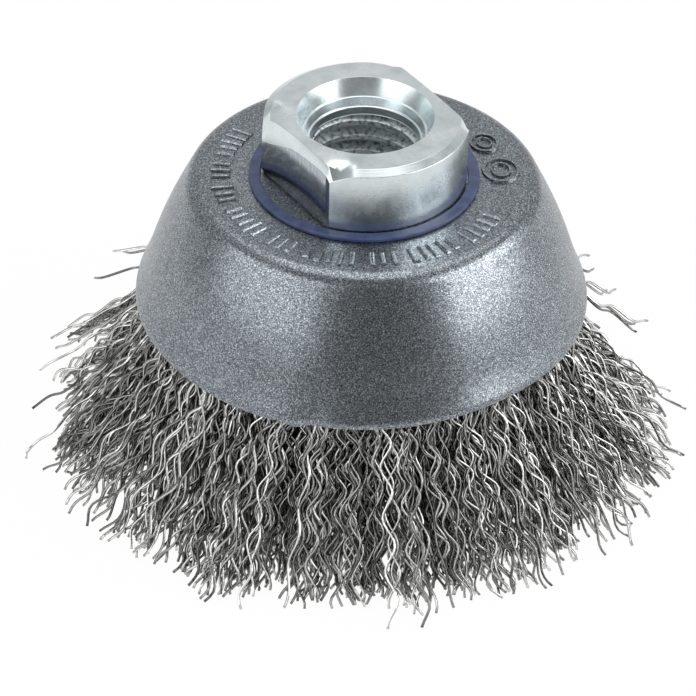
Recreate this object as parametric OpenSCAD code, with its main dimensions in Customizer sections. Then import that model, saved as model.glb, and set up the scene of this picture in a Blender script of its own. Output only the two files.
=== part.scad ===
// Cup brush with crimped steel wire, for an angle grinder spindle.
// +Z is the spindle axis and points up to the nut. Z = 0 is the face of the trimmed wire.

/* [Arbor nut] */
// Diameter of the nut's round body
nut_d = 23; // [21:0.5:26]
// Distance across the two wrench flats
nut_flats = 18.6; // [17.8:0.1:20.4]
// Direction that the first flat faces, in degrees from +X
flat_direction = 215; // [0:5:355]
// Height of the nut above the cup's top
nut_h = 8.15; // [6:0.05:12]
// Radial width of the nut's upper chamfer
top_chamfer = 1.3; // [0.5:0.1:1.8]
// Slope of the upper chamfer, in degrees from the flat face
chamfer_slope = 30; // [20:5:45]
// Chamfer at the nut's foot
foot_chamfer = 0.45; // [0.2:0.05:0.8]
// Diameter of the plain recess at the nut's face
recess_d = 15.3; // [14.5:0.1:16]
// Depth of the recess
recess_depth = 2; // [1.5:0.1:2.6]
// Slope of the recess's wall, in degrees from the axis
recess_slope = 22; // [10:1:24]

/* [Spindle thread] */
// Bore at the crests of the M14 x 2 thread
thread_minor_d = 11.84; // [11.5:0.01:12.2]
// Wall of the barrel that passes through the two cups
barrel_wall = 2.9; // [2.2:0.1:3.2]
// Share of the inner cup's flat floor that the barrel's swaged end covers
swage_cover = 0.5; // [0.3:0.02:0.7]
// Height of the swaged end
swage_h = 2; // [1.2:0.1:3]

/* [Seat ring] */
// Radial width of the blue ring round the nut's foot
seat_ring_w = 1.3; // [0.8:0.1:2]
// Thickness of the blue ring
seat_ring_t = 0.45; // [0.3:0.05:0.8]

/* [Cup] */
// Depth of the cup, from its top to its rim
cup_depth = 15.8; // [14.5:0.1:19]
// Thickness of the pressed steel sheet
cup_sheet = 1.2; // [0.9:0.1:1.4]
// Diameter of the cup's wall where it leaves the shoulder
shoulder_d = 40.6; // [39:0.2:43]
// Outer radius of the shoulder
shoulder_r = 2.2; // [1.8:0.1:3]
// Diameter of the neck, where the wall turns out into the lip
neck_d = 48; // [45:0.2:52]
// How far the wall bows out between shoulder and neck
wall_bow = 0.3; // [0:0.05:0.5]
// How far the lip flares out beyond the neck, in radius
lip_w = 1.9; // [1.5:0.1:2.6]
// Height of the flared lip
lip_h = 2.6; // [2.2:0.1:3.2]
// Outer radius of the lip's bend
lip_r = 1.9; // [1.4:0.1:2.1]

/* [Inner cup] */
// Thickness of the inner cup's sheet
inner_sheet = 1.2; // [0.8:0.1:1.5]
// How far the inner cup's mouth stays above the outer cup's neck
mouth_rise = 1; // [0.4:0.1:3]
// Outer radius of the inner cup's corner
inner_corner_r = 1.8; // [1.6:0.1:2.4]

/* [Retaining ring] */
// Thickness of the steel ring that the wires are folded round
ring_wire_d = 2; // [1.6:0.1:2.2]

/* [Wire fill] */
// Length of wire that stands out of the cup, along the axis
trim = 20; // [16:0.5:26]
// Number of equal sectors in the fill
sectors = 20; // [16:1:20]
// Number of strands in a sector, three nested folds over and over
sector_strands = 6; // [3:3:6]
// Width of a strand at the fold: a lock of fine wires crimped as one, which widens as it fans out
strand_w = 0.8; // [0.4:0.05:0.84]
// Thickness of a strand
strand_t = 0.66; // [0.4:0.02:0.8]
// Spacing of the rows of legs at the neck
row_pitch = 1.15; // [1:0.05:1.3]
// Diameter over the outermost tips
tip_d = 72; // [66:0.5:78]
// Diameter over the few strands that stand out from the rest
stray_d = 79; // [78:0.5:84]
// One sector in so many has such a stray strand
stray_every = 5; // [3:1:10]
// Diameter of the hollow inside the innermost tips
hollow_d = 35.6; // [34.5:0.2:37]
// How much longer a leg is than the neck is high, before the face is trimmed flat
leg_spare = 4; // [1:0.1:6]
// Length of one full crimp wave
crimp_pitch = 6.8; // [6:0.1:9]
// Height of the crimp wave from side to side
crimp_h = 1.6; // [0.8:0.1:2]
// How far a leg leans round the axis by its tip, in degrees
lean = 5; // [0:0.5:7]

/* [Fits] */
// Radial clearance between the barrel and the two cups
barrel_clear = 0.05; // [0.02:0.01:0.1]
// Radial clearance between the nut's foot and the blue ring
seat_ring_clear = 0.15; // [0.05:0.05:0.3]
// Clearance of the folded strands from what they bear on
strand_clear = 0.06; // [0.04:0.01:0.1]
// Gap that the folds leave to the two cups beside the retaining ring
ring_gap = 0.5; // [0.3:0.05:0.8]
// Gap that the legs leave to the neck and to the inner cup's mouth
neck_gap = 0.25; // [0.15:0.05:0.4]
// Gap between the outermost legs and the inner edge of the lip
lip_gap = 0.7; // [0.4:0.1:1]

/* [Hidden] */
$fn = 96;

// The direction, seen from a circle's centre, in which a line from p touches the circle
function touch_angle(centre, r, p, side) =
    let (v = p - centre)
    atan2(v.y, v.x) + side * acos(r / norm(v));

// Heights from the wire face up
rim_z = trim;
neck_z = rim_z + lip_h;
cup_top_z = rim_z + cup_depth;
cup_floor_z = cup_top_z - cup_sheet;
inner_floor_z = cup_floor_z - inner_sheet;
nut_top_z = cup_top_z + nut_h;

// The cup's wall touches the bends of the shoulder and the lip
rim_r = neck_d / 2 + lip_w;
neck = [neck_d / 2, neck_z];
shoulder_centre = [shoulder_d / 2 - shoulder_r, cup_top_z - shoulder_r];
wall_slope = touch_angle(shoulder_centre, shoulder_r, neck, 1);
lip_centre = [rim_r - lip_r, rim_z];
lip_turn = touch_angle(lip_centre, lip_r, neck, -1);
neck_in_r = neck_d / 2 - cup_sheet / cos(wall_slope);

// A strand's section is a triangle with its flat side to the ring
strand_ridge = strand_t * 2 / 3;
strand_flat = strand_t / 3;

// The folded strands hug the retaining ring and reach the cup's floor
fold_step = 45;
fold_r = (ring_wire_d / 2 + strand_clear + strand_flat) / cos(fold_step / 2);
ring_z = cup_floor_z - strand_clear - fold_r - strand_ridge;
ring_r = shoulder_d / 2 - cup_sheet - ring_gap - strand_ridge - fold_r;

// Nested folds, each with an outer and an inner row of legs: row 0 is outermost
nests = 3;
rows = 2 * nests;
function row_neck_r(row) = neck_in_r - (neck_gap + strand_ridge) / cos(wall_slope) - row * row_pitch;
function row_tip_r(row) = tip_d / 2 - row * (tip_d - hollow_d) / 2 / (rows - 1);

// Legs are straight, or flare later where they would touch the lip
leg_len = neck_z + leg_spare;
lip_room = rim_r - cup_sheet - lip_gap - strand_ridge - row_neck_r(0);
function leg_drop(reach) = min(neck_z, sqrt(max(0, leg_len ^ 2 - reach ^ 2)));
function flare_power(reach) =
    reach > lip_room ? max(1, ln(lip_room / reach) / ln(lip_h / leg_drop(reach))) : 1;

// The inner cup follows the innermost row from the fold to its mouth
inner_top_r = ring_r - fold_r - strand_ridge - ring_gap;
inner_mouth_z = neck_z + mouth_rise;
inner_row_slope = (row_neck_r(rows - 1) - ring_r + fold_r) / (ring_z - neck_z);
inner_row_lean = atan(inner_row_slope);
inner_mouth_r =
    row_neck_r(rows - 1) - mouth_rise * inner_row_slope - (neck_gap + strand_ridge) / cos(inner_row_lean);
inner_centre = [inner_top_r - inner_corner_r, cup_floor_z - inner_corner_r];
inner_mouth = [inner_mouth_r, inner_mouth_z];

// The nut and its barrel
nut_r = nut_d / 2;
bore_r = thread_minor_d / 2;
recess_r = recess_d / 2;
barrel_r = bore_r + barrel_wall;
swage_w = swage_cover * (inner_centre.x - barrel_r);
swage_r = barrel_r + swage_w;
swage_chamfer = swage_w / 2;
barrel_end_z = inner_floor_z - swage_h;
bore_chamfer = barrel_wall / 4;
top_chamfer_h = top_chamfer * tan(chamfer_slope);
// The recess narrows to its floor, where a steeper cone leads into the thread
recess_floor_r = recess_r - recess_depth * tan(recess_slope);
thread_top_z = nut_top_z - recess_depth - 2 * (recess_floor_r - bore_r);

// Nodes
function two_digits(n) = str(n < 10 ? "0" : "", n);
function wire_node(n) = str("wires_", two_digits(n));

// Points of an arc in the plane, from one angle to another
function arc(centre, r, from, to, steps) =
    [for (i = [0:steps])
        let (a = from + (to - from) * i / steps)
        centre + r * [cos(a), sin(a)]];

function unit(v) = v / norm(v);

// The normal on the left of a path, at point i
function left_normal(path, i) =
    let (before = path[max(i - 1, 0)], after = path[min(i + 1, len(path) - 1)],
         a = i > 0 ? unit(path[i] - before) : unit(after - path[i]),
         b = i < len(path) - 1 ? unit(after - path[i]) : a,
         na = [-a.y, a.x],
         nb = [-b.y, b.x],
         mid = unit(na + nb))
    mid / (mid * na);

// The outline of a sheet of even thickness, on the left of a path
function sheet_outline(path, t) =
    let (n = len(path))
    concat(path, [for (i = [n - 1:-1:0]) path[i] + t * left_normal(path, i)]);

// Turned and pressed pieces

module flat_cut(direction) {
    rotate(direction)
        translate([nut_flats / 2, -nut_r, cup_top_z - 1])
            cube([nut_r, nut_d, nut_h + 2]);
}

module arbor_nut() {
    color("#c3cbcf")
        difference() {
            rotate_extrude()
                polygon([
                    [bore_r, thread_top_z],
                    [bore_r, barrel_end_z + bore_chamfer],
                    [bore_r + bore_chamfer, barrel_end_z],
                    [swage_r - swage_chamfer, barrel_end_z],
                    [swage_r, barrel_end_z + swage_chamfer],
                    [swage_r, inner_floor_z],
                    [barrel_r, inner_floor_z],
                    [barrel_r, cup_top_z],
                    [nut_r - foot_chamfer, cup_top_z],
                    [nut_r, cup_top_z + foot_chamfer],
                    [nut_r, nut_top_z - top_chamfer_h],
                    [nut_r - top_chamfer, nut_top_z],
                    [recess_r, nut_top_z],
                    [recess_floor_r, nut_top_z - recess_depth]
                ]);
            flat_cut(flat_direction);
            flat_cut(flat_direction + 180);
        }
}

module seat_ring() {
    r = nut_r + seat_ring_clear;
    color("#3d4763")
        translate([0, 0, cup_top_z])
            difference() {
                cylinder(h = seat_ring_t, r = r + seat_ring_w);
                translate([0, 0, -1])
                    cylinder(h = seat_ring_t + 2, r = r);
            }
}

// The outer surface of the cup, from the nut's hole out and down to the rim
function wall_points(steps) =
    let (out = [cos(wall_slope), sin(wall_slope)],
         top = shoulder_centre + shoulder_r * out)
    [for (i = [1:steps])
        let (s = i / steps)
        top + (neck - top) * s + out * wall_bow * sin(180 * s)];

function cup_path() = concat(
    [[barrel_r + barrel_clear, cup_top_z]],
    arc(shoulder_centre, shoulder_r, 90, wall_slope, 6),
    wall_points(6),
    arc(lip_centre, lip_r, lip_turn, 0, 4)
);

module cup_shell() {
    color("#7d858c")
        rotate_extrude()
            polygon(sheet_outline(cup_path(), -cup_sheet));
}

function inner_path() = concat(
    [[barrel_r + barrel_clear, cup_floor_z]],
    arc(inner_centre, inner_corner_r, 90, touch_angle(inner_centre, inner_corner_r, inner_mouth, 1), 5),
    [inner_mouth]
);

module inner_cup() {
    color("#8f9498")
        rotate_extrude()
            polygon(sheet_outline(inner_path(), -inner_sheet));
}

module retaining_ring() {
    color("#6e7072")
        translate([0, 0, ring_z])
            rotate_extrude()
                translate([ring_r, 0])
                    circle(d = ring_wire_d);
}

// Crimped strands, each folded over the retaining ring with a leg on either side

// A place at radius r, height z and azimuth a
function polar(r, z, a) = [r * cos(a), r * sin(a), z];

// The crimp wave at turn i: it starts from nothing at the neck and swings from side to side
function crimp(i) = i == 0 ? 0 : i % 2 == 0 ? 1 : -1;

// The points of one leg, from the neck to the tip
function leg(row, tip_r, azimuth, side, pitch) =
    let (neck_r = row_neck_r(row),
         reach = tip_r - neck_r,
         drop = leg_drop(reach),
         n = round(norm([reach, drop]) / (pitch / 2)))
    [for (i = [0:n])
        let (s = i / n,
             r = neck_r + reach * s ^ flare_power(reach),
             swing = side * crimp_h / 2 * crimp(i))
        polar(r, neck_z - drop * s, azimuth + side * lean * s + swing / r * 180 / PI)];

// The fold over the ring, from its outer side to its inner side
function fold(azimuth) =
    [for (a = [0:fold_step:180])
        polar(ring_r + fold_r * cos(a), ring_z + fold_r * sin(a), azimuth)];

function backwards(list) = [for (i = [len(list) - 1:-1:0]) list[i]];

function tangent(path, i) = unit(path[min(i + 1, len(path) - 1)] - path[max(i - 1, 0)]);

// The three corners of the section at point i, the flat side towards the ring
function section(path, i) =
    let (p = path[i],
         t = tangent(path, i),
         round_axis = unit([-p.y, p.x, 0]),
         u = unit(round_axis - t * (t * round_axis)),
         v = cross(u, t),
         half = strand_w / 2 * norm([p.x, p.y]) / ring_r,
         ended = i == 0 || i == len(path) - 1)
    [for (offset = [v * strand_ridge, -v * strand_flat - u * half, -v * strand_flat + u * half])
        let (corner = p + offset)
        ended ? corner + t * (p.z - corner.z) / t.z : corner];

// A closed solid swept along a path
module strand(path) {
    n = len(path);
    points = [for (i = [0:n - 1]) each section(path, i)];
    sides = [for (i = [0:n - 2], k = [0:2])
        let (a = 3 * i + k, b = 3 * i + (k + 1) % 3)
        each [[a, b, b + 3], [a, b + 3, a + 3]]];
    caps = [[0, 2, 1], [3 * n - 3, 3 * n - 2, 3 * n - 1]];
    polyhedron(points, concat(sides, caps));
}

// The inner leg hardly shows, and has a crimp of twice the pitch
module folded_strand(nest, azimuth, side, stray) {
    outer_tip_r = stray ? stray_d / 2 : row_tip_r(nest);
    outer_leg = backwards(leg(nest, outer_tip_r, azimuth, side, crimp_pitch));
    inner_row = rows - 1 - nest;
    inner_leg = leg(inner_row, row_tip_r(inner_row), azimuth, -side, 2 * crimp_pitch);
    strand(concat(outer_leg, fold(azimuth), inner_leg));
}

// The strands of a row lean and swing together, and those of the next row the other way
module sector_strand(n, i) {
    nest = i % nests;
    folded_strand(
        nest,
        azimuth = 360 / sectors * (n + i / sector_strands),
        side = nest % 2 == 0 ? 1 : -1,
        stray = i == 0 && n % stray_every == 0
    );
}

module wire_sector(n) {
    color("#5c5c59")
        for (i = [0:sector_strands - 1])
            sector_strand(n, i);
}

arbor_nut();
seat_ring();
cup_shell();
inner_cup();
retaining_ring();
for (n = [1:sectors])
    wire_sector(n);
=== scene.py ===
"""Crimped wire cup brush: its finishes and fine forms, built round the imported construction."""
import math
import random

import bmesh
import bpy
from bpy.props import FloatProperty, FloatVectorProperty, IntProperty, PointerProperty, StringProperty
from mathutils import Matrix, Vector


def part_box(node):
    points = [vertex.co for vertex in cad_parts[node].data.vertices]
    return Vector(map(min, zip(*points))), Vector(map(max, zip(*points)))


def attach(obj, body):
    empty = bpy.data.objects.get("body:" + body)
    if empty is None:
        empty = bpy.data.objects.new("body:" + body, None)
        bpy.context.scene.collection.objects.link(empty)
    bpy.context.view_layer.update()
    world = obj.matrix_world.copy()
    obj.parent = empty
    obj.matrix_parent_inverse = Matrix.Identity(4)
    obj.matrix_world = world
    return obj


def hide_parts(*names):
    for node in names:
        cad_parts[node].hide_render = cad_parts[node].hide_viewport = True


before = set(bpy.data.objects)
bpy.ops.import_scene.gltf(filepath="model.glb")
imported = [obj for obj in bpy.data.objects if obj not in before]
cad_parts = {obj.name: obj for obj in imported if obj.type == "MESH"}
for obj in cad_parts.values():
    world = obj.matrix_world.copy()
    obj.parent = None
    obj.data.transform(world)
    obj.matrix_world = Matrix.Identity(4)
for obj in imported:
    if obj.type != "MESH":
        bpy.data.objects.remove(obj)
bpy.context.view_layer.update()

bl_info = {
    "name": "Wire cup brush",
    "version": (1, 0, 0),
    "blender": (4, 5, 0),
    "location": "3D View > Sidebar > Cup brush",
    "description": "Dresses a crimped wire cup brush: nut, cup, seat ring, inner cup and wire fill",
    "category": "Add Mesh",
}

# The frame's own sizes, in metres
NUT_LOW, NUT_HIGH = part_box("arbor_nut")
CUP_LOW, CUP_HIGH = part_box("cup_shell")
SEAT_LOW, SEAT_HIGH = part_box("seat_ring")
INNER_LOW, INNER_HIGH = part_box("inner_cup")
RETAINER_LOW, RETAINER_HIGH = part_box("retaining_ring")
WIRE_NODES = sorted(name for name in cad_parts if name.startswith("wires_"))

BODY = "root"
MM = 0.001
WELD = 1e-6
# The wires are free to spread from just below the cup's rim
LIP_Z = 17 * MM
# Tips that stand clear of the fill in the photograph, as (azimuth in degrees, radius and height in mm)
STRAYS = (
    (-171, 39.5, 0.4), (-176, 38.6, 1.5), (170, 38.2, 2.2), (163, 38.4, 2.6), (156, 38.0, 1.6), (147, 37.6, 5.2),
    (144, 37.2, 6.4), (141, 37.8, 7.6), (24, 38.2, 3.6), (27, 37.4, 2.4), (29, 37.8, 3.2), (31, 37.0, 1.8),
    (33, 37.6, 3.4), (36, 37.2, 6.0), (40, 37.4, 7.4), (12, 37.6, 0.8), (-7, 38.0, 0.6), (-16, 37.8, 0.5),
    (-31, 37.6, 0.4), (-150, 37.4, 0.5), (-159, 38.0, 0.4), (-82, 36.3, 0.3), (-74, 36.6, 0.3), (-112, 35.8, 0.4),
)
SHARP = math.radians(24)
CUP_TOP = SEAT_LOW.z


def length(name, description, millimetres):
    """A length property with its default in millimetres."""
    return FloatProperty(
        name=name, description=description, default=millimetres * MM, min=0.0, precision=5, subtype="DISTANCE", unit="LENGTH"
    )


def colour(name, description, default):
    """A colour property, written as an sRGB hex value."""
    return StringProperty(name=name, description=description, default=default)


class NutSettings(bpy.types.PropertyGroup):
    """Sizes of the threaded nut and its barrel."""

    flats: length("Across flats", "Distance across the two wrench flats", 18.6)
    flat_direction: FloatProperty(
        name="Flat direction", description="Direction that the first flat faces, from +X", default=math.radians(215), subtype="ANGLE"
    )
    top_chamfer: length("Top chamfer", "Radial width of the upper chamfer", 0.9)
    chamfer_slope: FloatProperty(
        name="Chamfer slope", description="Slope of the upper chamfer from the flat face", default=math.radians(30), subtype="ANGLE"
    )
    foot_chamfer: length("Foot chamfer", "Chamfer at the nut's foot", 0.45)
    flat_rise: length("Flat bevel height", "Height of the bevel along the top of a flat", 1.07)
    flat_tilt: FloatProperty(
        name="Flat bevel tilt", description="Tilt of that bevel from the flat", default=math.radians(22), subtype="ANGLE"
    )
    mouth_r: length("Mouth radius", "Radius of the recess at the nut's face", 7.65)
    recess_r: length("Recess radius", "Radius of the recess at its floor", 6.84)
    recess_depth: length("Recess depth", "Depth of the plain recess", 2.0)
    thread_major_r: length("Thread root radius", "Radius at the roots of the M14 thread", 7.0)
    thread_minor_r: length("Thread crest radius", "Radius at the crests of the M14 thread", 5.92)
    thread_pitch: length("Thread pitch", "Pitch of the thread", 2.0)
    barrel_r: length("Barrel radius", "Radius of the barrel that passes through both cups", 8.82)
    swage_h: length("Swage height", "Height of the swaged end", 2.0)
    edge: length("Edge rounding", "Rounding of the nut's machined edges", 0.12)


class CupSettings(bpy.types.PropertyGroup):
    """Sizes of the two pressed cups and the seat ring."""

    hole_r: length("Hole radius", "Radius of the hole for the barrel", 8.87)
    shoulder_d: length("Shoulder diameter", "Diameter of the wall where it leaves the shoulder", 40.6)
    shoulder_r: length("Shoulder bend", "Outer radius of the shoulder", 2.2)
    neck_d: length("Neck diameter", "Diameter where the wall turns out into the lip", 49.6)
    depth: length("Cup depth", "Depth of the cup from its top to its rim", 15.8)
    wall_bow: length("Wall bow", "How far the wall bows out", 0.3)
    lip_h: length("Lip height", "Height of the flared lip", 3.1)
    lip_r: length("Lip bend", "Outer radius of the lip's bend", 2.5)
    sheet: length("Sheet", "Thickness of the pressed sheet", 1.2)
    edge: length("Edge rounding", "Rounding of the sheared edges", 0.25)
    inner_corner_r: length("Inner cup corner", "Outer radius of the inner cup's corner", 1.8)
    mark_r: length("Mark ring radius", "Middle radius of the stamped marks", 16.1)
    mark_h: length("Mark height", "Height of the stamped marks", 0.3)


class WireSettings(bpy.types.PropertyGroup):
    """Sizes and shape of the crimped wire fill."""

    wire_d: length("Wire diameter", "Diameter of the drawn wire", 0.3)
    per_sector: IntProperty(name="Wires", description="Folded wires in each sector", default=99, min=1)
    leg_steps: IntProperty(name="Outer leg steps", description="Straight steps along an outer leg", default=46, min=4)
    inner_steps: IntProperty(name="Inner leg steps", description="Straight steps along an inner leg", default=22, min=4)
    sides: IntProperty(name="Sides", description="Sides of a wire's section", default=3, min=3)
    outer_neck_r: length("Outer row at the neck", "Radius of the outermost wires at the neck", 22.2)
    inner_neck_r: length("Inner row at the neck", "Radius of the innermost wires at the neck", 15.95)
    outer_tip_r: length("Outer tips", "Radius of the outermost tips at the front and back", 33.4)
    side_reach: length("Side reach", "How much further the tips reach at the two sides", 3.2)
    inner_tip_r: length("Inner tips", "Radius of the innermost tips", 18.2)
    stray_r: length("Stray reach", "Radius that the longest stray wires reach", 39.6)
    crimp_pitch: length("Crimp pitch", "Length of one crimp wave", 5.4)
    crimp_half: length("Crimp height", "Half height of the crimp wave", 0.62)
    tuft_pitch: length("Tuft pitch", "Spacing of the loose tufts at the tips", 2.7)
    seed: IntProperty(name="Seed", description="Seed of the wires' places", default=65)


class FinishSettings(bpy.types.PropertyGroup):
    """Colours of the finishes."""

    zinc: colour("Zinc plate", "Bright zinc plate on the nut", "#dce4e6")
    paint_dark: colour("Paint, dark flake", "Darkest flakes of the metallic paint", "#343a40")
    paint_light: colour("Paint, light flake", "Brightest flakes of the metallic paint", "#e0e6ea")
    blue: colour("Seat ring", "Dark blue plastic of the seat ring", "#485579")
    sheet_steel: colour("Sheet steel", "Oiled sheet of the inner cup", "#a3a6a8")
    wire_dark: colour("Wire, dark", "Oxide on the darker wires", "#666665")
    wire_light: colour("Wire, light", "Bare steel on the brighter wires", "#e8e8e6")


# Materials


def linear(hex_colour):
    """An sRGB hex colour as the linear RGBA that Blender's sockets take."""
    channels = [int(hex_colour[i:i + 2], 16) / 255 for i in (1, 3, 5)]
    return [c / 12.92 if c <= 0.04045 else ((c + 0.055) / 1.055) ** 2.4 for c in channels] + [1.0]


def add(tree, kind, inputs=(), **settings):
    """Adds a shader node with its settings; an input that is given a socket is linked to it."""
    node = tree.nodes.new(kind)
    for name, value in settings.items():
        setattr(node, name, value)
    for name, value in dict(inputs).items():
        if isinstance(value, bpy.types.NodeSocket):
            tree.links.new(value, node.inputs[name])
        else:
            node.inputs[name].default_value = value
    return node


def ramp(tree, factor, stops):
    """A colour ramp over the given (position, hex colour) stops."""
    node = add(tree, "ShaderNodeValToRGB", {"Fac": factor})
    elements = node.color_ramp.elements
    while len(elements) < len(stops):
        elements.new(0.5)
    for element, (position, hex_colour) in zip(elements, stops):
        element.position = position
        element.color = linear(hex_colour)
    return node.outputs["Color"]


def new_material(name):
    """An empty material with its Principled shader, and the Object coordinates that its patterns follow."""
    material = bpy.data.materials.new(name)
    material.use_nodes = True
    tree = material.node_tree
    tree.nodes.clear()
    shader = add(tree, "ShaderNodeBsdfPrincipled")
    add(tree, "ShaderNodeOutputMaterial", {"Surface": shader.outputs["BSDF"]})
    place = add(tree, "ShaderNodeTexCoord").outputs["Object"]
    return material, tree, shader, place


def turned_zinc(finish):
    """Bright zinc plate on turned steel: pale blue-white, with fine tool marks that run round the axis."""
    material, tree, shader, place = new_material("bright_zinc_plate_turned")
    tool_mark = 0.12 * MM
    cloud = add(tree, "ShaderNodeTexNoise", {"Vector": place, "Scale": 0.3 / MM, "Detail": 5.0, "Roughness": 0.6})
    stain = ramp(tree, cloud.outputs["Fac"], [(0.3, "#ccd5d7"), (0.52, finish.zinc), (0.75, "#e9eeee")])
    tree.links.new(stain, shader.inputs["Base Color"])
    shader.inputs["Metallic"].default_value = 1.0
    # The tool marks are rings: the noise runs over the distance from the axis and over the height
    flat = add(tree, "ShaderNodeVectorMath", {0: place, 1: (1, 1, 0)}, operation="MULTIPLY")
    radius = add(tree, "ShaderNodeVectorMath", {0: flat.outputs["Vector"]}, operation="LENGTH")
    height = add(tree, "ShaderNodeSeparateXYZ", {"Vector": place}).outputs["Z"]
    along = add(tree, "ShaderNodeMath", {0: radius.outputs["Value"], 1: height}, operation="ADD")
    rings = add(tree, "ShaderNodeTexNoise", {"W": along.outputs["Value"], "Scale": 1 / tool_mark, "Detail": 3.0}, noise_dimensions="1D")
    gloss = add(tree, "ShaderNodeMapRange", {"Value": cloud.outputs["Fac"], "From Min": 0.3, "From Max": 0.7, "To Min": 0.2, "To Max": 0.3})
    tree.links.new(gloss.outputs["Result"], shader.inputs["Roughness"])
    bump = add(tree, "ShaderNodeBump", {"Height": rings.outputs["Fac"], "Strength": 0.25, "Distance": 0.02 * MM})
    tree.links.new(bump.outputs["Normal"], shader.inputs["Normal"])
    return material


def tapped_zinc(finish):
    """Zinc plate in a tapped thread: pale and dull, torn a little by the tap."""
    material, tree, shader, place = new_material("zinc_plate_tapped")
    torn = add(tree, "ShaderNodeTexNoise", {"Vector": place, "Scale": 1 / (0.5 * MM), "Detail": 4.0})
    tree.links.new(ramp(tree, torn.outputs["Fac"], [(0.36, "#8d9496"), (0.5, finish.zinc), (0.7, "#f2f5f5")]), shader.inputs["Base Color"])
    shader.inputs["Metallic"].default_value = 1.0
    shader.inputs["Roughness"].default_value = 0.42
    bump = add(tree, "ShaderNodeBump", {"Height": torn.outputs["Fac"], "Strength": 0.6, "Distance": 0.05 * MM})
    tree.links.new(bump.outputs["Normal"], shader.inputs["Normal"])
    return material


def milled_zinc_with_painted_shade(finish):
    """Zinc plate over a milled flat: a soft mirror with short upright flecks, tinted greyer than the turned faces as
    painted shade for the darker reflection that the flats show.
    """
    material, tree, shader, place = new_material("zinc_plate_milled_painted_shade")
    across, along = 1 / (0.25 * MM), 1 / (0.7 * MM)
    stretched = add(tree, "ShaderNodeVectorMath", {0: place, 1: (across, across, along)}, operation="MULTIPLY")
    marks = add(tree, "ShaderNodeTexNoise", {"Vector": stretched.outputs["Vector"], "Scale": 1.0, "Detail": 3.0})
    # Painted shade: this ramp runs greyer than the turned zinc, so that the flats look as dark as their reflection does
    tint = ramp(tree, marks.outputs["Fac"], [(0.3, "#a4acb2"), (0.62, "#b9c0c4"), (0.72, finish.zinc)])
    tree.links.new(tint, shader.inputs["Base Color"])
    shader.inputs["Metallic"].default_value = 1.0
    shader.inputs["Roughness"].default_value = 0.17
    bump = add(tree, "ShaderNodeBump", {"Height": marks.outputs["Fac"], "Strength": 0.3, "Distance": 0.008 * MM})
    tree.links.new(bump.outputs["Normal"], shader.inputs["Normal"])
    return material


def flake_paint(finish, name="metallic_flake_paint_sprayed", painted_highlight=0.0):
    """Sprayed silver-grey metallic paint: coarse bright and dark flakes under a satin binder; a given share mixes it
    towards the brightest flake, a painted highlight that makes it paler.
    """
    material, tree, shader, place = new_material(name)
    # Real flakes are near 0.05 mm: they are drawn coarser, so that they show as the sparkle does
    flake = 0.075 * MM
    cells = add(tree, "ShaderNodeTexVoronoi", {"Vector": place, "Scale": 1 / flake})
    random_value = add(tree, "ShaderNodeSeparateColor", {"Color": cells.outputs["Color"]})
    tint = ramp(
        tree, random_value.outputs["Red"],
        [(0.0, finish.paint_dark), (0.45, "#767c82"), (0.8, "#969da3"), (1.0, finish.paint_light)],
    )
    # Painted highlight: the flakes are mixed towards the brightest flake colour by the given share, so that this copy
    # of the paint looks lit
    highlight_mix = add(tree, "ShaderNodeMix", {0: painted_highlight, 6: tint, 7: linear(finish.paint_light)}, data_type="RGBA")
    tree.links.new(highlight_mix.outputs[2], shader.inputs["Base Color"])
    shader.inputs["Metallic"].default_value = 1.0
    gloss = add(tree, "ShaderNodeMapRange", {"Value": random_value.outputs["Green"], "To Min": 0.27, "To Max": 0.37})
    tree.links.new(gloss.outputs["Result"], shader.inputs["Roughness"])
    peel = add(tree, "ShaderNodeTexNoise", {"Vector": place, "Scale": 1 / (0.35 * MM), "Detail": 3.0})
    bump = add(tree, "ShaderNodeBump", {"Height": peel.outputs["Fac"], "Strength": 0.25, "Distance": 0.02 * MM})
    tree.links.new(bump.outputs["Normal"], shader.inputs["Normal"])
    return material


def satin_plastic(finish):
    """Dark blue moulded plastic: satin, slightly mottled."""
    material, tree, shader, place = new_material("dark_blue_plastic_moulded")
    mottle = add(tree, "ShaderNodeTexNoise", {"Vector": place, "Scale": 1 / (1.2 * MM), "Detail": 4.0})
    tree.links.new(ramp(tree, mottle.outputs["Fac"], [(0.35, "#374264"), (0.65, finish.blue)]), shader.inputs["Base Color"])
    shader.inputs["Roughness"].default_value = 0.34
    grain = add(tree, "ShaderNodeTexNoise", {"Vector": place, "Scale": 1 / (0.15 * MM)})
    bump = add(tree, "ShaderNodeBump", {"Height": grain.outputs["Fac"], "Strength": 0.2, "Distance": 0.01 * MM})
    tree.links.new(bump.outputs["Normal"], shader.inputs["Normal"])
    return material


def pressed_steel(finish):
    """Oiled cold-rolled sheet: mid grey with soft darker patches."""
    material, tree, shader, place = new_material("oiled_steel_sheet_pressed")
    patches = add(tree, "ShaderNodeTexNoise", {"Vector": place, "Scale": 1 / (4 * MM), "Detail": 5.0})
    tree.links.new(ramp(tree, patches.outputs["Fac"], [(0.3, "#6d6f71"), (0.65, finish.sheet_steel)]), shader.inputs["Base Color"])
    shader.inputs["Metallic"].default_value = 1.0
    gloss = add(tree, "ShaderNodeMapRange", {"Value": patches.outputs["Fac"], "To Min": 0.28, "To Max": 0.5})
    tree.links.new(gloss.outputs["Result"], shader.inputs["Roughness"])
    return material


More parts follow.
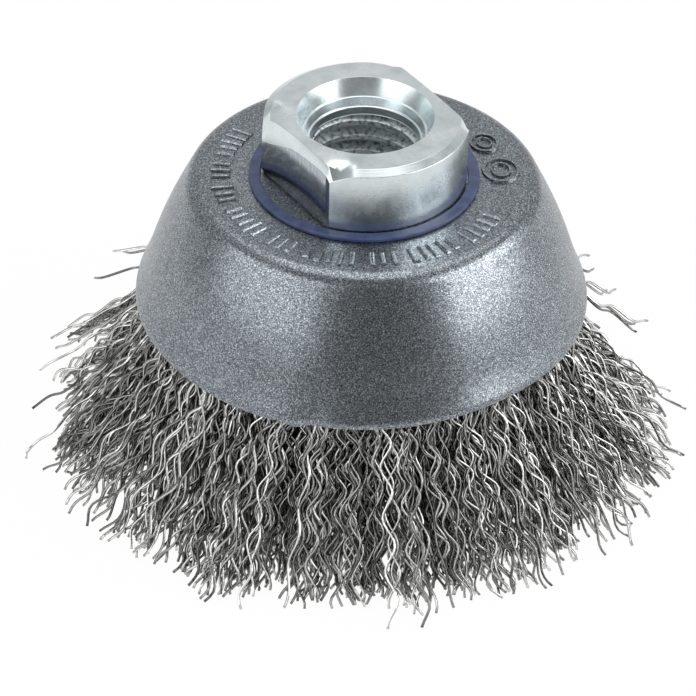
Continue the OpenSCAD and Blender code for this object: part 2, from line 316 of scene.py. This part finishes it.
def drawn_wire(finish):
    """Hard-drawn steel wire: each wire has its own tone, dark oxide to bare metal, with glossy streaks."""
    material, tree, shader, place = new_material("hard_drawn_steel_wire")
    own = add(tree, "ShaderNodeNewGeometry").outputs["Random Per Island"]
    patches = add(tree, "ShaderNodeTexNoise", {"Vector": place, "Scale": 1 / (2.5 * MM), "Detail": 3.0})
    tone = add(tree, "ShaderNodeMix", {0: 0.45, 2: own, 3: patches.outputs["Fac"]}, data_type="FLOAT")
    tree.links.new(ramp(tree, tone.outputs[0], [(0.2, finish.wire_dark), (0.5, "#a1a1a0"), (0.75, finish.wire_light)]), shader.inputs["Base Color"])
    shader.inputs["Metallic"].default_value = 1.0
    gloss = add(tree, "ShaderNodeMapRange", {"Value": patches.outputs["Fac"], "To Min": 0.16, "To Max": 0.28})
    tree.links.new(gloss.outputs["Result"], shader.inputs["Roughness"])
    return material


# Outlines, as (radius, height) points in metres


def arc(centre, radius, start, end, steps):
    """Points of an arc, from one angle to another in radians."""
    angles = [start + (end - start) * i / steps for i in range(steps + 1)]
    return [(centre[0] + radius * math.cos(a), centre[1] + radius * math.sin(a)) for a in angles]


def touch_angle(centre, radius, point, side):
    """The direction, from a circle's centre, in which a line from point touches the circle."""
    x, z = point[0] - centre[0], point[1] - centre[1]
    return math.atan2(z, x) + side * math.acos(radius / math.hypot(x, z))


def cup_outline(cup):
    """The outer surface of the cup, from the hole out and down to the rim."""
    rim_z = CUP_TOP - cup.depth
    neck = (cup.neck_d / 2, rim_z + cup.lip_h)
    shoulder = (cup.shoulder_d / 2 - cup.shoulder_r, CUP_TOP - cup.shoulder_r)
    lip = (CUP_HIGH.x - cup.lip_r, rim_z)
    slope = touch_angle(shoulder, cup.shoulder_r, neck, 1)
    top = arc(shoulder, cup.shoulder_r, slope, slope, 1)[0]
    out = (math.cos(slope), math.sin(slope))
    wall = []
    steps = 16
    for i in range(1, steps + 1):
        s = i / steps
        bow = cup.wall_bow * math.sin(math.pi * s)
        wall.append(tuple(top[k] + (neck[k] - top[k]) * s + out[k] * bow for k in (0, 1)))
    flat_steps = 5
    flat = [(cup.hole_r + (shoulder[0] - cup.hole_r) * i / flat_steps, CUP_TOP) for i in range(flat_steps)]
    return (
        flat
        + arc(shoulder, cup.shoulder_r, math.pi / 2, slope, 8)
        + wall
        + arc(lip, cup.lip_r, touch_angle(lip, cup.lip_r, neck, -1), 0, 8)
    )


def inner_cup_outline(cup):
    """The outer surface of the inner cup, from the hole out and down to its mouth."""
    top_z = INNER_HIGH.z
    mouth = (INNER_HIGH.x, INNER_LOW.z)
    ring_r = (RETAINER_HIGH.x - RETAINER_HIGH.z + RETAINER_LOW.z) / 1
    top_r = ring_r - 2.0 * MM
    centre = (top_r - cup.inner_corner_r, top_z - cup.inner_corner_r)
    slope = touch_angle(centre, cup.inner_corner_r, mouth, 1)
    return [(cup.hole_r, top_z)] + arc(centre, cup.inner_corner_r, math.pi / 2, slope, 8) + [mouth]


def thread_top(nut):
    """The height at which the thread's roots begin, below the recess and its lead-in."""
    return NUT_HIGH.z - nut.recess_depth - 2.5 * MM


def nut_outline(nut):
    """The closed section of the nut, its barrel and the swaged end, with the bore at the thread's roots."""
    top, foot = NUT_HIGH.z - 0.02 * MM, CUP_TOP
    body_r = NUT_HIGH.y
    end = NUT_LOW.z
    inner_floor = end + nut.swage_h
    swage_r = nut.barrel_r + 1.9 * MM
    chamfer_h = nut.top_chamfer * math.tan(nut.chamfer_slope)
    recess_floor = top - nut.recess_depth
    bore_chamfer = 0.72 * MM
    swage_chamfer = 0.95 * MM
    # Below the recess a steeper cone leads in to the thread's first turn
    lead_in = [(0.0, 0.0), (-0.17, -0.05), (-0.48, -1.0), (-0.66, -1.08), (-0.78, -1.9), (-0.7, -2.1)]
    return [
        (nut.thread_major_r, thread_top(nut)),
        (nut.thread_major_r, end + bore_chamfer),
        (nut.thread_major_r + bore_chamfer, end),
        (swage_r - swage_chamfer, end),
        (swage_r, end + swage_chamfer),
        (swage_r, inner_floor),
        (nut.barrel_r, inner_floor),
        (nut.barrel_r, foot),
        (body_r - nut.foot_chamfer, foot),
        (body_r, foot + nut.foot_chamfer),
        (body_r, top - chamfer_h),
        (body_r - nut.top_chamfer, top),
        (nut.mouth_r + 2.1 * MM, top),
        (nut.mouth_r + 1.4 * MM, top),
        (nut.mouth_r + 0.7 * MM, top),
        (nut.mouth_r, top),
    ] + [(nut.recess_r + dr * MM, recess_floor + dz * MM) for dr, dz in lead_in]


# Meshes


def spin_outline(bm, points, closed, steps):
    """Spins an outline round the axis into a surface with outward normals."""
    verts = [bm.verts.new((r, 0, z)) for r, z in points]
    ends = verts[1:] + verts[:1] if closed else verts[1:]
    edges = [bm.edges.new(pair) for pair in zip(verts, ends)]
    bmesh.ops.spin(
        bm, geom=verts + edges, cent=(0, 0, 0), axis=(0, 0, 1), angle=math.tau, steps=steps, use_merge=True
    )
    bmesh.ops.remove_doubles(bm, verts=bm.verts, dist=WELD)
    bmesh.ops.recalc_face_normals(bm, faces=bm.faces)


def finish_piece(bm, name, material, nodes=(), edge=0.0):
    """Turns a bmesh into a finished piece on the brush's body, in the place of the nodes that it stands for."""
    mesh = bpy.data.meshes.new(name)
    bm.to_mesh(mesh)
    bm.free()
    mesh.materials.append(material)
    mesh.shade_smooth()
    mesh.set_sharp_from_angle(angle=SHARP)
    piece = bpy.data.objects.new(name, mesh)
    bpy.context.scene.collection.objects.link(piece)
    if edge:
        bevel = piece.modifiers.new("edges", "BEVEL")
        bevel.width = edge
        bevel.segments = 3
        bevel.limit_method = "ANGLE"
        bevel.angle_limit = SHARP
        bevel.harden_normals = True
    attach(piece, BODY)
    if nodes:
        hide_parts(*nodes)
    return piece


def cut_away(bm, point, normal, above, material_index=0):
    """Cuts off what lies beyond a plane, on the part of the nut that stands above a height."""
    faces = [f for f in bm.faces if all(v.co.z > above for v in f.verts)]
    edges = {e for f in faces for e in f.edges}
    verts = {v for f in faces for v in f.verts}
    bmesh.ops.bisect_plane(
        bm, geom=list(verts) + list(edges) + faces, dist=WELD, plane_co=point, plane_no=normal, clear_outer=True
    )
    filled = bmesh.ops.holes_fill(bm, edges=[e for e in bm.edges if e.is_boundary], sides=0)
    for face in filled["faces"]:
        face.material_index = material_index
    bmesh.ops.recalc_face_normals(bm, faces=bm.faces)


def cut_flat(bm, nut, direction):
    """Mills one wrench flat and the narrow bevel along its top."""
    out = Vector((math.cos(direction), math.sin(direction), 0))
    cut_away(bm, out * nut.flats / 2, out, CUP_TOP - 1 * MM, 1)
    tilted = out * math.cos(nut.flat_tilt) + Vector((0, 0, math.sin(nut.flat_tilt)))
    bevel_foot = out * nut.flats / 2 + Vector((0, 0, NUT_HIGH.z - nut.flat_rise))
    cut_away(bm, bevel_foot, tilted, CUP_TOP - 1 * MM)
    foot = out * nut.flats / 2 + Vector((0, 0, CUP_TOP + nut.foot_chamfer * 0.7))
    cut_away(bm, foot, out * math.cos(math.radians(50)) - Vector((0, 0, math.sin(math.radians(50)))), CUP_TOP - 1 * MM)


def wear_corners(bm, nut, direction, depth):
    """Lets a flat's upper edge arch down towards its two corners, as the nut's shoulders do where wear has rounded
    them.
    """
    out = Vector((math.cos(direction), math.sin(direction), 0))
    along = Vector((-out.y, out.x, 0))
    # How far the edge has dropped, at distances along the flat, in mm
    arch = [(-7.0, 2.75), (-5.98, 2.7), (-4.74, 2.2), (-2.94, 1.42), (-0.71, 0.5), (2.37, 0.12), (5.2, 0.05), (6.3, 0.3), (7.0, 1.0)]
    band = [f for f in bm.faces if f.calc_center_median().dot(out) > nut.flats / 2 - 0.5 * MM and f.calc_center_median().z > CUP_TOP]
    for i in range(-12, 13):
        geom = band + list({e for f in band for e in f.edges}) + list({v for f in band for v in f.verts})
        cut = bmesh.ops.bisect_plane(bm, geom=geom, dist=WELD, plane_co=along * i * 0.55 * MM, plane_no=along)
        band = [g for g in cut["geom"] if isinstance(g, bmesh.types.BMFace)]
    foot_z = NUT_HIGH.z - nut.flat_rise
    for vert in bm.verts:
        away, u = vert.co.dot(out), vert.co.dot(along) / MM
        if vert.co.z < foot_z - 0.2 * MM or away < nut.flats / 2 - 2.6 * MM or vert.co.xy.length < nut.mouth_r + 0.2 * MM:
            continue
        reach = max(arch[0][0], min(arch[-1][0], u))
        low, high = next((a, b) for a, b in zip(arch, arch[1:]) if a[0] <= reach <= b[0])
        drop = low[1] + (high[1] - low[1]) * (reach - low[0]) / (high[0] - low[0])
        # The top face gives way less than the edge below it, and what lies between them follows in proportion
        below = max(0.0, min(1.0, (NUT_HIGH.z - 0.05 * MM - vert.co.z) / (0.45 * MM)))
        top_drop = min(drop, 0.9) * 0.9 * ((vert.co.xy.length - nut.mouth_r) / (3 * MM)) ** 2
        drop = top_drop + (drop - top_drop) * below
        fade = 10 - 2 * below
        azimuth = math.acos(min(1.0, away / vert.co.xy.length))
        beyond = max(0.0, azimuth - math.acos(nut.flats / 2 / NUT_HIGH.y))
        vert.co.z -= depth * drop * MM * math.exp(-((beyond / math.radians(fade)) ** 2))


def cut_thread(bm, nut):
    """Adds the thread's ridge, a helix whose upper turn runs out on the cone below the recess."""
    root_r = nut.thread_major_r + 0.03 * MM
    height = nut.thread_major_r - nut.thread_minor_r
    crest_half = nut.thread_pitch / 8
    root_half = crest_half + height * math.tan(math.radians(30))
    low, high = NUT_LOW.z, thread_top(nut) + 0.15 * MM
    turns = (high - low) / nut.thread_pitch + 1
    steps_per_turn = 72
    steps = round(turns * steps_per_turn)
    start = low - nut.thread_pitch / 2
    section = [(root_r, -root_half), (nut.thread_minor_r, -crest_half), (nut.thread_minor_r, crest_half), (root_r, root_half)]
    verts = [bm.verts.new((r, 0, start + z)) for r, z in section]
    edges = [bm.edges.new(pair) for pair in zip(verts, verts[1:] + verts[:1])]
    bmesh.ops.spin(
        bm, geom=verts + edges, cent=(0, 0, 0), axis=(0, 0, 1), angle=math.tau * turns, steps=steps,
        dvec=(0, 0, nut.thread_pitch * turns / steps),
    )
    for z, side in ((low + 0.1 * MM, -1), (high, 1)):
        geom = [g for part in (bm.verts, bm.edges, bm.faces) for g in part]
        bmesh.ops.bisect_plane(bm, geom=geom, dist=WELD, plane_co=(0, 0, z), plane_no=(0, 0, side), clear_outer=True)
    bmesh.ops.holes_fill(bm, edges=[e for e in bm.edges if e.is_boundary], sides=0)
    bmesh.ops.recalc_face_normals(bm, faces=bm.faces)


def rim_damage(bm, cup):
    """Lets the rim run unevenly and gives it the small dent that it has at the front left."""
    rim_z = CUP_TOP - cup.depth
    reach = 6 * MM
    waves = [
        (math.radians(-118), math.radians(16), -0.32 * MM),
        (math.radians(-105.5), math.radians(2.2), -0.42 * MM),
        (math.radians(-52), math.radians(22), 0.36 * MM),
    ]
    dent_direction, dent_width, dent_depth = math.radians(-101), math.radians(3.0), 0.3 * MM
    for vert in bm.verts:
        share = max(0.0, 1 - (vert.co.z - rim_z) / reach) ** 2
        if share == 0.0:
            continue
        direction = math.atan2(vert.co.y, vert.co.x)
        for centre, width, drop in waves:
            vert.co.z += share * drop * math.exp(-((direction - centre) / width) ** 2)
        push = share * dent_depth * math.exp(-((direction - dent_direction) / dent_width) ** 2)
        vert.co.xy *= 1 - push / vert.co.xy.length


def stamped_bar(bm, radius, direction, size, lean=0.0):
    """One raised bar of the stamped ring, with rounded top edges."""
    made = bmesh.ops.create_cube(bm, size=1.0)["verts"]
    place = Matrix.Rotation(direction, 4, "Z") @ Matrix.Translation((radius, 0, CUP_TOP)) @ Matrix.Rotation(lean, 4, "Z")
    bmesh.ops.transform(bm, matrix=place @ Matrix.Diagonal((*size, 1)), verts=made)
    top = {e for v in made for e in v.link_edges if all(w.co.z > CUP_TOP for w in e.verts)}
    bmesh.ops.bevel(
        bm, geom=list(top), offset=size[2] * 0.35, offset_type="OFFSET", affect="EDGES", segments=2, profile=0.5, material=-1
    )


def stamped_oval(bm, radius, direction, half_length, half_width, height):
    """One plain raised oval of the stamped ring."""
    steps = 36
    band = 0.16 * MM
    section = [(-band, -height), (-band * 0.5, height), (band * 0.5, height), (band, -height)]
    verts = [bm.verts.new((1 * MM + x, 0, z)) for x, z in section]
    edges = [bm.edges.new(pair) for pair in zip(verts, verts[1:])]
    made = set(verts)
    known = set(bm.verts)
    bmesh.ops.spin(bm, geom=verts + edges, cent=(0, 0, 0), axis=(0, 0, 1), angle=math.tau, steps=steps, use_merge=True)
    made |= set(bm.verts) - known
    bmesh.ops.scale(bm, vec=(half_width / MM, half_length / MM, 1), verts=list(made))
    place = Matrix.Rotation(direction, 4, "Z") @ Matrix.Translation((radius, 0, CUP_TOP))
    bmesh.ops.transform(bm, matrix=place, verts=list(made))


# Wires


def tuft(wires, azimuth, row):
    """The middle of the loose tuft that a wire at this azimuth belongs to, and how far out the tuft stands."""
    step = wires.tuft_pitch / wires.outer_tip_r
    shift = row * 0.37
    number = math.floor(azimuth / step + shift)
    own = random.Random(number * 7 + row)
    middle = (number + 0.5 + own.uniform(-0.25, 0.25) - shift) * step
    return middle, own.gauss(0, 1.0) * MM


def leg_points(wires, rng, azimuth, depth, crimp, stray):
    """Points of one leg from the neck to its tip; depth runs from 0, the outermost row, to 1."""
    neck_z = CUP_TOP - 13.2 * MM
    neck_r = wires.outer_neck_r + (wires.inner_neck_r - wires.outer_neck_r) * depth
    outer_r = wires.outer_tip_r + wires.side_reach * math.cos(azimuth) ** 2
    # The fill is pressed in a little at the back right
    outer_r -= 2.6 * MM * math.exp(-(((azimuth % math.tau - math.radians(28)) / math.radians(16)) ** 2))
    middle, stand_out = tuft(wires, azimuth, round(depth * 5))
    floor = wires.wire_d * 0.8
    if stray:
        tip_r, low = stray
    else:
        tip_r = outer_r + (wires.inner_tip_r - outer_r) * depth + stand_out + rng.gauss(0, 0.65) * MM
        low = floor + abs(rng.gauss(0, 0.5)) * MM
    reach = tip_r - neck_r
    drop = neck_z - low
    run = math.hypot(reach, drop)
    slope = math.atan2(reach, drop)
    # The cup's lip holds the wires in: they spread only below it
    held = (neck_z - LIP_Z) / drop
    lip_reach = min(1.4 * MM, reach * held)
    pull = rng.uniform(0.4, 1.0) * (middle - azimuth)
    lean = rng.gauss(0, 0.03)
    bend, wander, lift = rng.gauss(0, 0.7) * MM, rng.gauss(0, 0.4) * MM, rng.gauss(0, 0.4) * MM
    if stray:
        pull, bend, lift = 0.0, bend * 2, rng.uniform(-0.2, 1.0) * MM
    half, phase, plane, pitch = crimp
    steps = wires.leg_steps if depth <= 0.5 else wires.inner_steps
    points = []
    for i in range(steps + 1):
        s = i / steps
        wave = half * math.sin(phase + math.tau * s * run / pitch)
        free = min(1.0, s / 0.14)
        out = free * (wave * math.sin(plane) + lift * s * s)
        side = (0.5 + 0.5 * free) * wave * math.cos(plane) + bend * s ** 3 + wander * math.sin(math.pi * s)
        if s < held:
            spread = lip_reach * s / held
        else:
            spread = lip_reach + (reach - lip_reach) * ((s - held) / (1 - held)) ** 1.2
        r = min(neck_r + spread + out * math.cos(slope), wires.stray_r)
        z = neck_z - drop * s + out * math.sin(slope)
        angle = azimuth + pull * s ** 1.5 + lean * s + side / r
        points.append(Vector((r * math.cos(angle), r * math.sin(angle), max(z, floor))))
    return points


def fold_points(wires, rng, azimuth):
    """Points over the retaining ring, from the outer leg's side to the inner one's."""
    ring_half = (RETAINER_HIGH.z - RETAINER_LOW.z) / 2
    ring_z = RETAINER_LOW.z + ring_half
    ring_r = RETAINER_HIGH.x - ring_half
    around = ring_half + wires.wire_d * (0.6 + rng.choice((0, 1, 2)) * 0.8)
    points = []
    for degrees in (0, 45, 90, 135, 180):
        a = math.radians(degrees)
        r = ring_r + around * math.cos(a)
        points.append(Vector((r * math.cos(azimuth), r * math.sin(azimuth), ring_z + around * math.sin(a))))
    return points


def folded_wire(wires, rng, azimuth, depth, crimp, stray):
    """Points of one wire: up the outer leg, over the ring and down the inner leg."""
    outer = leg_points(wires, rng, azimuth, depth, crimp, stray)
    half, phase, plane, pitch = crimp
    back = (half, phase + rng.uniform(0, math.tau), plane + rng.gauss(0, 0.5), pitch)
    inner = leg_points(wires, rng, azimuth + rng.gauss(0, 0.02), 1 - depth, back, None)
    return outer[::-1] + fold_points(wires, rng, azimuth) + inner


def sector_wires(wires, number, count):
    """The routes of all the wires in one sector of the fill, laid in small groups with a shared crimp."""
    rng = random.Random(wires.seed * 1000 + number)
    width = math.tau / count
    routes = []
    while len(routes) < wires.per_sector:
        centre = width * (number - rng.random())
        depth = 0.5 * rng.random() ** 1.15
        phase, plane = rng.uniform(0, math.tau), rng.gauss(0, 0.65)
        pitch = wires.crimp_pitch * rng.uniform(0.82, 1.2)
        for _ in range(rng.choice((1, 1, 1, 2, 3))):
            azimuth = centre + rng.gauss(0, 0.018)
            own_depth = min(0.5, max(0.0, depth + rng.gauss(0, 0.03)))
            half = wires.crimp_half * rng.uniform(0.75, 1.3)
            crimp = (half, phase + rng.gauss(0, 0.3), plane + rng.gauss(0, 0.2), pitch)
            routes.append(folded_wire(wires, rng, azimuth, own_depth, crimp, None))
    routes = routes[:wires.per_sector]
    for degrees, reach, rise in STRAYS:
        azimuth = math.radians(degrees) % math.tau
        if number == math.ceil(azimuth / width):
            crimp = (wires.crimp_half, rng.uniform(0, math.tau), 0.2, wires.crimp_pitch)
            routes.append(folded_wire(wires, rng, azimuth, 0.0, crimp, (reach * MM, rise * MM)))
    return routes


def wire_section(wires):
    """The small closed curve that is a wire's section."""
    section = bpy.data.curves.new("wire_section", "CURVE")
    section.dimensions = "2D"
    spline = section.splines.new("POLY")
    spline.points.add(wires.sides - 1)
    spline.use_cyclic_u = True
    # The polygon looks as wide as the round wire, on average over the directions
    share = math.pi / wires.sides / math.sin(math.pi / wires.sides)
    for i, point in enumerate(spline.points):
        a = math.tau * i / wires.sides
        radius = wires.wire_d / 2 * share
        point.co = (radius * math.cos(a), radius * math.sin(a), 0, 1)
    return bpy.data.objects.new("wire_section", section)


def wire_piece(name, routes, section, material):
    """Sweeps the section along every route and makes one mesh piece for a sector."""
    curve = bpy.data.curves.new(name, "CURVE")
    curve.dimensions = "3D"
    curve.bevel_mode = "OBJECT"
    curve.bevel_object = section
    curve.use_fill_caps = True
    for route in routes:
        spline = curve.splines.new("POLY")
        spline.points.add(len(route) - 1)
        for point, place in zip(spline.points, route):
            point.co = (*place, 1)
    swept = bpy.data.objects.new(name + "_swept", curve)
    bpy.context.scene.collection.objects.link(swept)
    bpy.context.view_layer.update()
    mesh = bpy.data.meshes.new_from_object(swept.evaluated_get(bpy.context.evaluated_depsgraph_get()))
    bpy.data.objects.remove(swept)
    bpy.data.curves.remove(curve)
    bm = bmesh.new()
    bm.from_mesh(mesh)
    bpy.data.meshes.remove(mesh)
    bmesh.ops.remove_doubles(bm, verts=bm.verts, dist=WELD)
    bmesh.ops.recalc_face_normals(bm, faces=bm.faces)
    piece = finish_piece(bm, name + "_crimped", material, [name])
    piece.data.materials.clear()
    piece.data.materials.append(material)
    piece.data.shade_smooth()
    piece.data.set_sharp_from_angle(angle=math.pi)
    return piece


# Operators


class BRUSH_OT_nut(bpy.types.Operator):
    """Turn the zinc-plated nut with its wrench flats and thread"""

    bl_idname = "brush.nut"
    bl_label = "Arbor nut"

    def execute(self, context):
        nut = context.scene.brush_nut
        material = turned_zinc(context.scene.brush_finish)
        bm = bmesh.new()
        spin_outline(bm, nut_outline(nut), True, 144)
        for turn, depth in ((0, 1.0), (math.pi, 0.35)):
            cut_flat(bm, nut, nut.flat_direction + turn)
            wear_corners(bm, nut, nut.flat_direction + turn, depth)
        body = finish_piece(bm, "arbor_nut_turned", material, ["arbor_nut"], nut.edge)
        # Slot 1, the milled flats, takes the zinc that carries the painted shade
        body.data.materials.append(milled_zinc_with_painted_shade(context.scene.brush_finish))
        bm = bmesh.new()
        cut_thread(bm, nut)
        finish_piece(bm, "spindle_thread", tapped_zinc(context.scene.brush_finish))
        return {"FINISHED"}


class BRUSH_OT_seat_ring(bpy.types.Operator):
    """Make the thin blue ring round the nut's foot"""

    bl_idname = "brush.seat_ring"
    bl_label = "Seat ring"

    def execute(self, context):
        inner_r = SEAT_HIGH.x - 1.3 * MM
        outline = [(inner_r, SEAT_LOW.z), (SEAT_HIGH.x, SEAT_LOW.z), (SEAT_HIGH.x, SEAT_HIGH.z), (inner_r, SEAT_HIGH.z)]
        bm = bmesh.new()
        spin_outline(bm, outline, True, 144)
        finish_piece(bm, "seat_ring_moulded", satin_plastic(context.scene.brush_finish), ["seat_ring"], 0.12 * MM)
        return {"FINISHED"}


class BRUSH_OT_cup(bpy.types.Operator):
    """Press the painted cup, with its uneven rim and its ring of plain stamped marks"""

    bl_idname = "brush.cup"
    bl_label = "Cup shell"

    def execute(self, context):
        cup = context.scene.brush_cup
        material = flake_paint(context.scene.brush_finish)
        bm = bmesh.new()
        spin_outline(bm, cup_outline(cup), False, 240)
        bmesh.ops.solidify(bm, geom=bm.faces[:], thickness=cup.sheet)
        rim_damage(bm, cup)
        finish_piece(bm, "cup_shell_pressed", material, ["cup_shell"], cup.edge)
        self.stamp_marks(cup)
        return {"FINISHED"}

    def stamp_marks(self, cup):
        """Groups of plain bars, and two plain ovals, raised on the cup's top."""
        bm = bmesh.new()
        rng = random.Random(5)
        direction = math.radians(150)
        end = math.radians(338)
        while direction < end:
            for _ in range(rng.choice((3, 4, 5, 7))):
                bar = (rng.choice((2.1, 2.4, 2.6)) * MM, rng.choice((0.5, 0.6, 0.8)) * MM, 2 * cup.mark_h)
                stamped_bar(bm, cup.mark_r, direction, bar)
                direction += 1.2 * MM / cup.mark_r
            direction += 1.0 * MM / cup.mark_r
        for degrees, radius, size in ((26.5, 15.1 * MM, 1.0), (5.3, 15.4 * MM, 1.3)):
            stamped_oval(bm, radius, math.radians(degrees), 1.7 * size * MM, 1.5 * size * MM, cup.mark_h)
            stamped_oval(bm, radius, math.radians(degrees), 1.0 * size * MM, 0.8 * size * MM, cup.mark_h)
        bmesh.ops.recalc_face_normals(bm, faces=bm.faces)
        # The marks take a copy of the paint mixed 5% towards the brightest flake colour: a painted highlight on the
        # raised marks
        painted_highlight = flake_paint(bpy.context.scene.brush_finish, "metallic_flake_paint_painted_highlight", 0.05)
        finish_piece(bm, "cup_marks", painted_highlight)


class BRUSH_OT_inner_cup(bpy.types.Operator):
    """Press the inner cup and finish the retaining ring"""

    bl_idname = "brush.inner_cup"
    bl_label = "Inner cup and retaining ring"

    def execute(self, context):
        cup = context.scene.brush_cup
        material = pressed_steel(context.scene.brush_finish)
        bm = bmesh.new()
        spin_outline(bm, inner_cup_outline(cup), False, 144)
        bmesh.ops.solidify(bm, geom=bm.faces[:], thickness=cup.sheet)
        finish_piece(bm, "inner_cup_pressed", material, ["inner_cup"], cup.edge)
        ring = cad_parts["retaining_ring"]
        ring.data.materials.clear()
        ring.data.materials.append(material)
        return {"FINISHED"}


class BRUSH_OT_wires(bpy.types.Operator):
    """Fold the crimped wires over the retaining ring, one piece for each sector"""

    bl_idname = "brush.wires"
    bl_label = "Wire fill"

    def execute(self, context):
        wires = context.scene.brush_wires
        material = drawn_wire(context.scene.brush_finish)
        section = wire_section(wires)
        for number, name in enumerate(WIRE_NODES, start=1):
            wire_piece(name, sector_wires(wires, number, len(WIRE_NODES)), section, material)
        bpy.data.objects.remove(section)
        return {"FINISHED"}


class BRUSH_OT_stage(bpy.types.Operator):
    """Set the pale floor, the soft lights and the camera"""

    bl_idname = "brush.stage"
    bl_label = "Stage"

    def execute(self, context):
        self.floor()
        self.world(context.scene)
        self.lights()
        self.camera(context.scene)
        context.scene.view_settings.view_transform = "Standard"
        return {"FINISHED"}

    def seen_white(self, tree):
        """1 for the rays that show the background itself, 0 for those that light the brush."""
        path = add(tree, "ShaderNodeLightPath")
        first = add(tree, "ShaderNodeMath", {0: path.outputs["Is Camera Ray"], 1: path.outputs["Is Glossy Ray"]}, operation="MAXIMUM")
        both = add(tree, "ShaderNodeMath", {0: first.outputs["Value"], 1: path.outputs["Is Transmission Ray"]}, operation="MAXIMUM")
        return both.outputs["Value"]

    def floor(self):
        """A sheet of pale paper, mostly white of its own, that keeps a light shadow."""
        bm = bmesh.new()
        bmesh.ops.create_grid(bm, x_segments=1, y_segments=1, size=0.3)
        bmesh.ops.translate(bm, verts=bm.verts, vec=(0, 0.18, 0))
        mesh = bpy.data.meshes.new("floor")
        bm.to_mesh(mesh)
        bm.free()
        material = bpy.data.materials.new("pale_paper_floor")
        material.use_nodes = True
        tree = material.node_tree
        tree.nodes.clear()
        white = self.seen_white(tree)
        paper = add(tree, "ShaderNodeBsdfDiffuse", {"Color": linear("#f3f3f3")})
        glow = add(tree, "ShaderNodeEmission", {"Color": (1, 1, 1, 1), "Strength": 1.0})
        share = add(tree, "ShaderNodeMath", {0: white, 1: 0.97}, operation="MULTIPLY")
        mixed = add(tree, "ShaderNodeMixShader", {0: share.outputs["Value"], 1: paper.outputs["BSDF"], 2: glow.outputs["Emission"]})
        add(tree, "ShaderNodeOutputMaterial", {"Surface": mixed.outputs["Shader"]})
        mesh.materials.append(material)
        floor = bpy.data.objects.new("floor", mesh)
        bpy.context.scene.collection.objects.link(floor)

    def world(self, scene):
        """A plain soft room, dim in front of the brush and brighter behind it."""
        world = bpy.data.worlds.new("soft_room")
        scene.world = world
        world.use_nodes = True
        tree = world.node_tree
        tree.nodes.clear()
        direction = add(tree, "ShaderNodeTexCoord").outputs["Generated"]
        depth = add(tree, "ShaderNodeSeparateXYZ", {"Vector": direction}).outputs["Y"]
        level = add(tree, "ShaderNodeMapRange", {"Value": depth, "From Min": -0.4, "From Max": 0.8, "To Min": 0.24, "To Max": 0.67})
        room = add(tree, "ShaderNodeBackground", {"Color": (1, 1, 1, 1), "Strength": level.outputs["Result"]})
        add(tree, "ShaderNodeOutputWorld", {"Surface": room.outputs["Background"]})

    def lights(self):
        """An overhead softbox and two wide upright ones, with a dark gap between them in front."""
        middle = Vector((0, 0, CUP_TOP))
        for name, place, width, height, power in (
            ("overhead", (0.02, 0.17, 0.62), 0.5, 0.5, 1.1),
            ("left", (-0.45, -0.315, 0.27), 0.7, 0.5, 1.85),
            ("right", (0.535, -0.13, 0.27), 0.6, 0.5, 3.2),
        ):
            lamp = bpy.data.lights.new(name, "AREA")
            lamp.shape = "RECTANGLE"
            lamp.size, lamp.size_y = width, height
            lamp.energy = power
            light = bpy.data.objects.new(name, lamp)
            light.location = place
            light.rotation_euler = (middle - Vector(place)).to_track_quat("-Z", "Y").to_euler()
            light.visible_camera = False
            bpy.context.scene.collection.objects.link(light)

    def camera(self, scene):
        """The photograph's view: in front of the brush and 38 degrees above it."""
        pitch, yaw, roll = 0.6579, -0.0045, 0.0212
        ahead = Vector((math.sin(yaw) * math.cos(pitch), math.cos(yaw) * math.cos(pitch), -math.sin(pitch)))
        level_right = ahead.cross(Vector((0, 0, 1))).normalized()
        level_up = level_right.cross(ahead)
        right = level_right * math.cos(roll) + level_up * math.sin(roll)
        up = level_up * math.cos(roll) - level_right * math.sin(roll)
        data = bpy.data.cameras.new("camera")
        data.sensor_width = 36.0
        # The photograph's focal length is 3391 pixels on its frame of 696
        data.lens = 36.0 * 3391.0 / 696
        data.clip_end = 10.0
        camera = bpy.data.objects.new("camera", data)
        turn = Matrix((right, up, -ahead)).transposed().to_4x4()
        camera.matrix_world = Matrix.Translation((0, -312.571 * MM, 252.81 * MM)) @ turn
        scene.collection.objects.link(camera)
        scene.camera = camera


class BRUSH_PT_panel(bpy.types.Panel):
    """Lists the brush's pieces in the order in which they are built"""

    bl_idname = "BRUSH_PT_panel"
    bl_label = "Cup brush"
    bl_space_type = "VIEW_3D"
    bl_region_type = "UI"
    bl_category = "Cup brush"

    def draw(self, context):
        for step in STEPS:
            self.layout.operator(step.bl_idname)


STEPS = (BRUSH_OT_stage, BRUSH_OT_nut, BRUSH_OT_seat_ring, BRUSH_OT_cup, BRUSH_OT_inner_cup, BRUSH_OT_wires)
SETTINGS = {
    "brush_nut": NutSettings,
    "brush_cup": CupSettings,
    "brush_wires": WireSettings,
    "brush_finish": FinishSettings,
}


def register():
    for kind in (*SETTINGS.values(), *STEPS, BRUSH_PT_panel):
        bpy.utils.register_class(kind)
    for name, kind in SETTINGS.items():
        setattr(bpy.types.Scene, name, PointerProperty(type=kind))


def unregister():
    for name in SETTINGS:
        delattr(bpy.types.Scene, name)
    for kind in (BRUSH_PT_panel, *reversed(STEPS), *reversed(SETTINGS.values())):
        bpy.utils.unregister_class(kind)


def main():
    register()
    bpy.ops.brush.stage()
    bpy.ops.brush.nut()
    bpy.ops.brush.seat_ring()
    bpy.ops.brush.cup()
    bpy.ops.brush.inner_cup()
    bpy.ops.brush.wires()


if __name__ == "__main__":
    main()
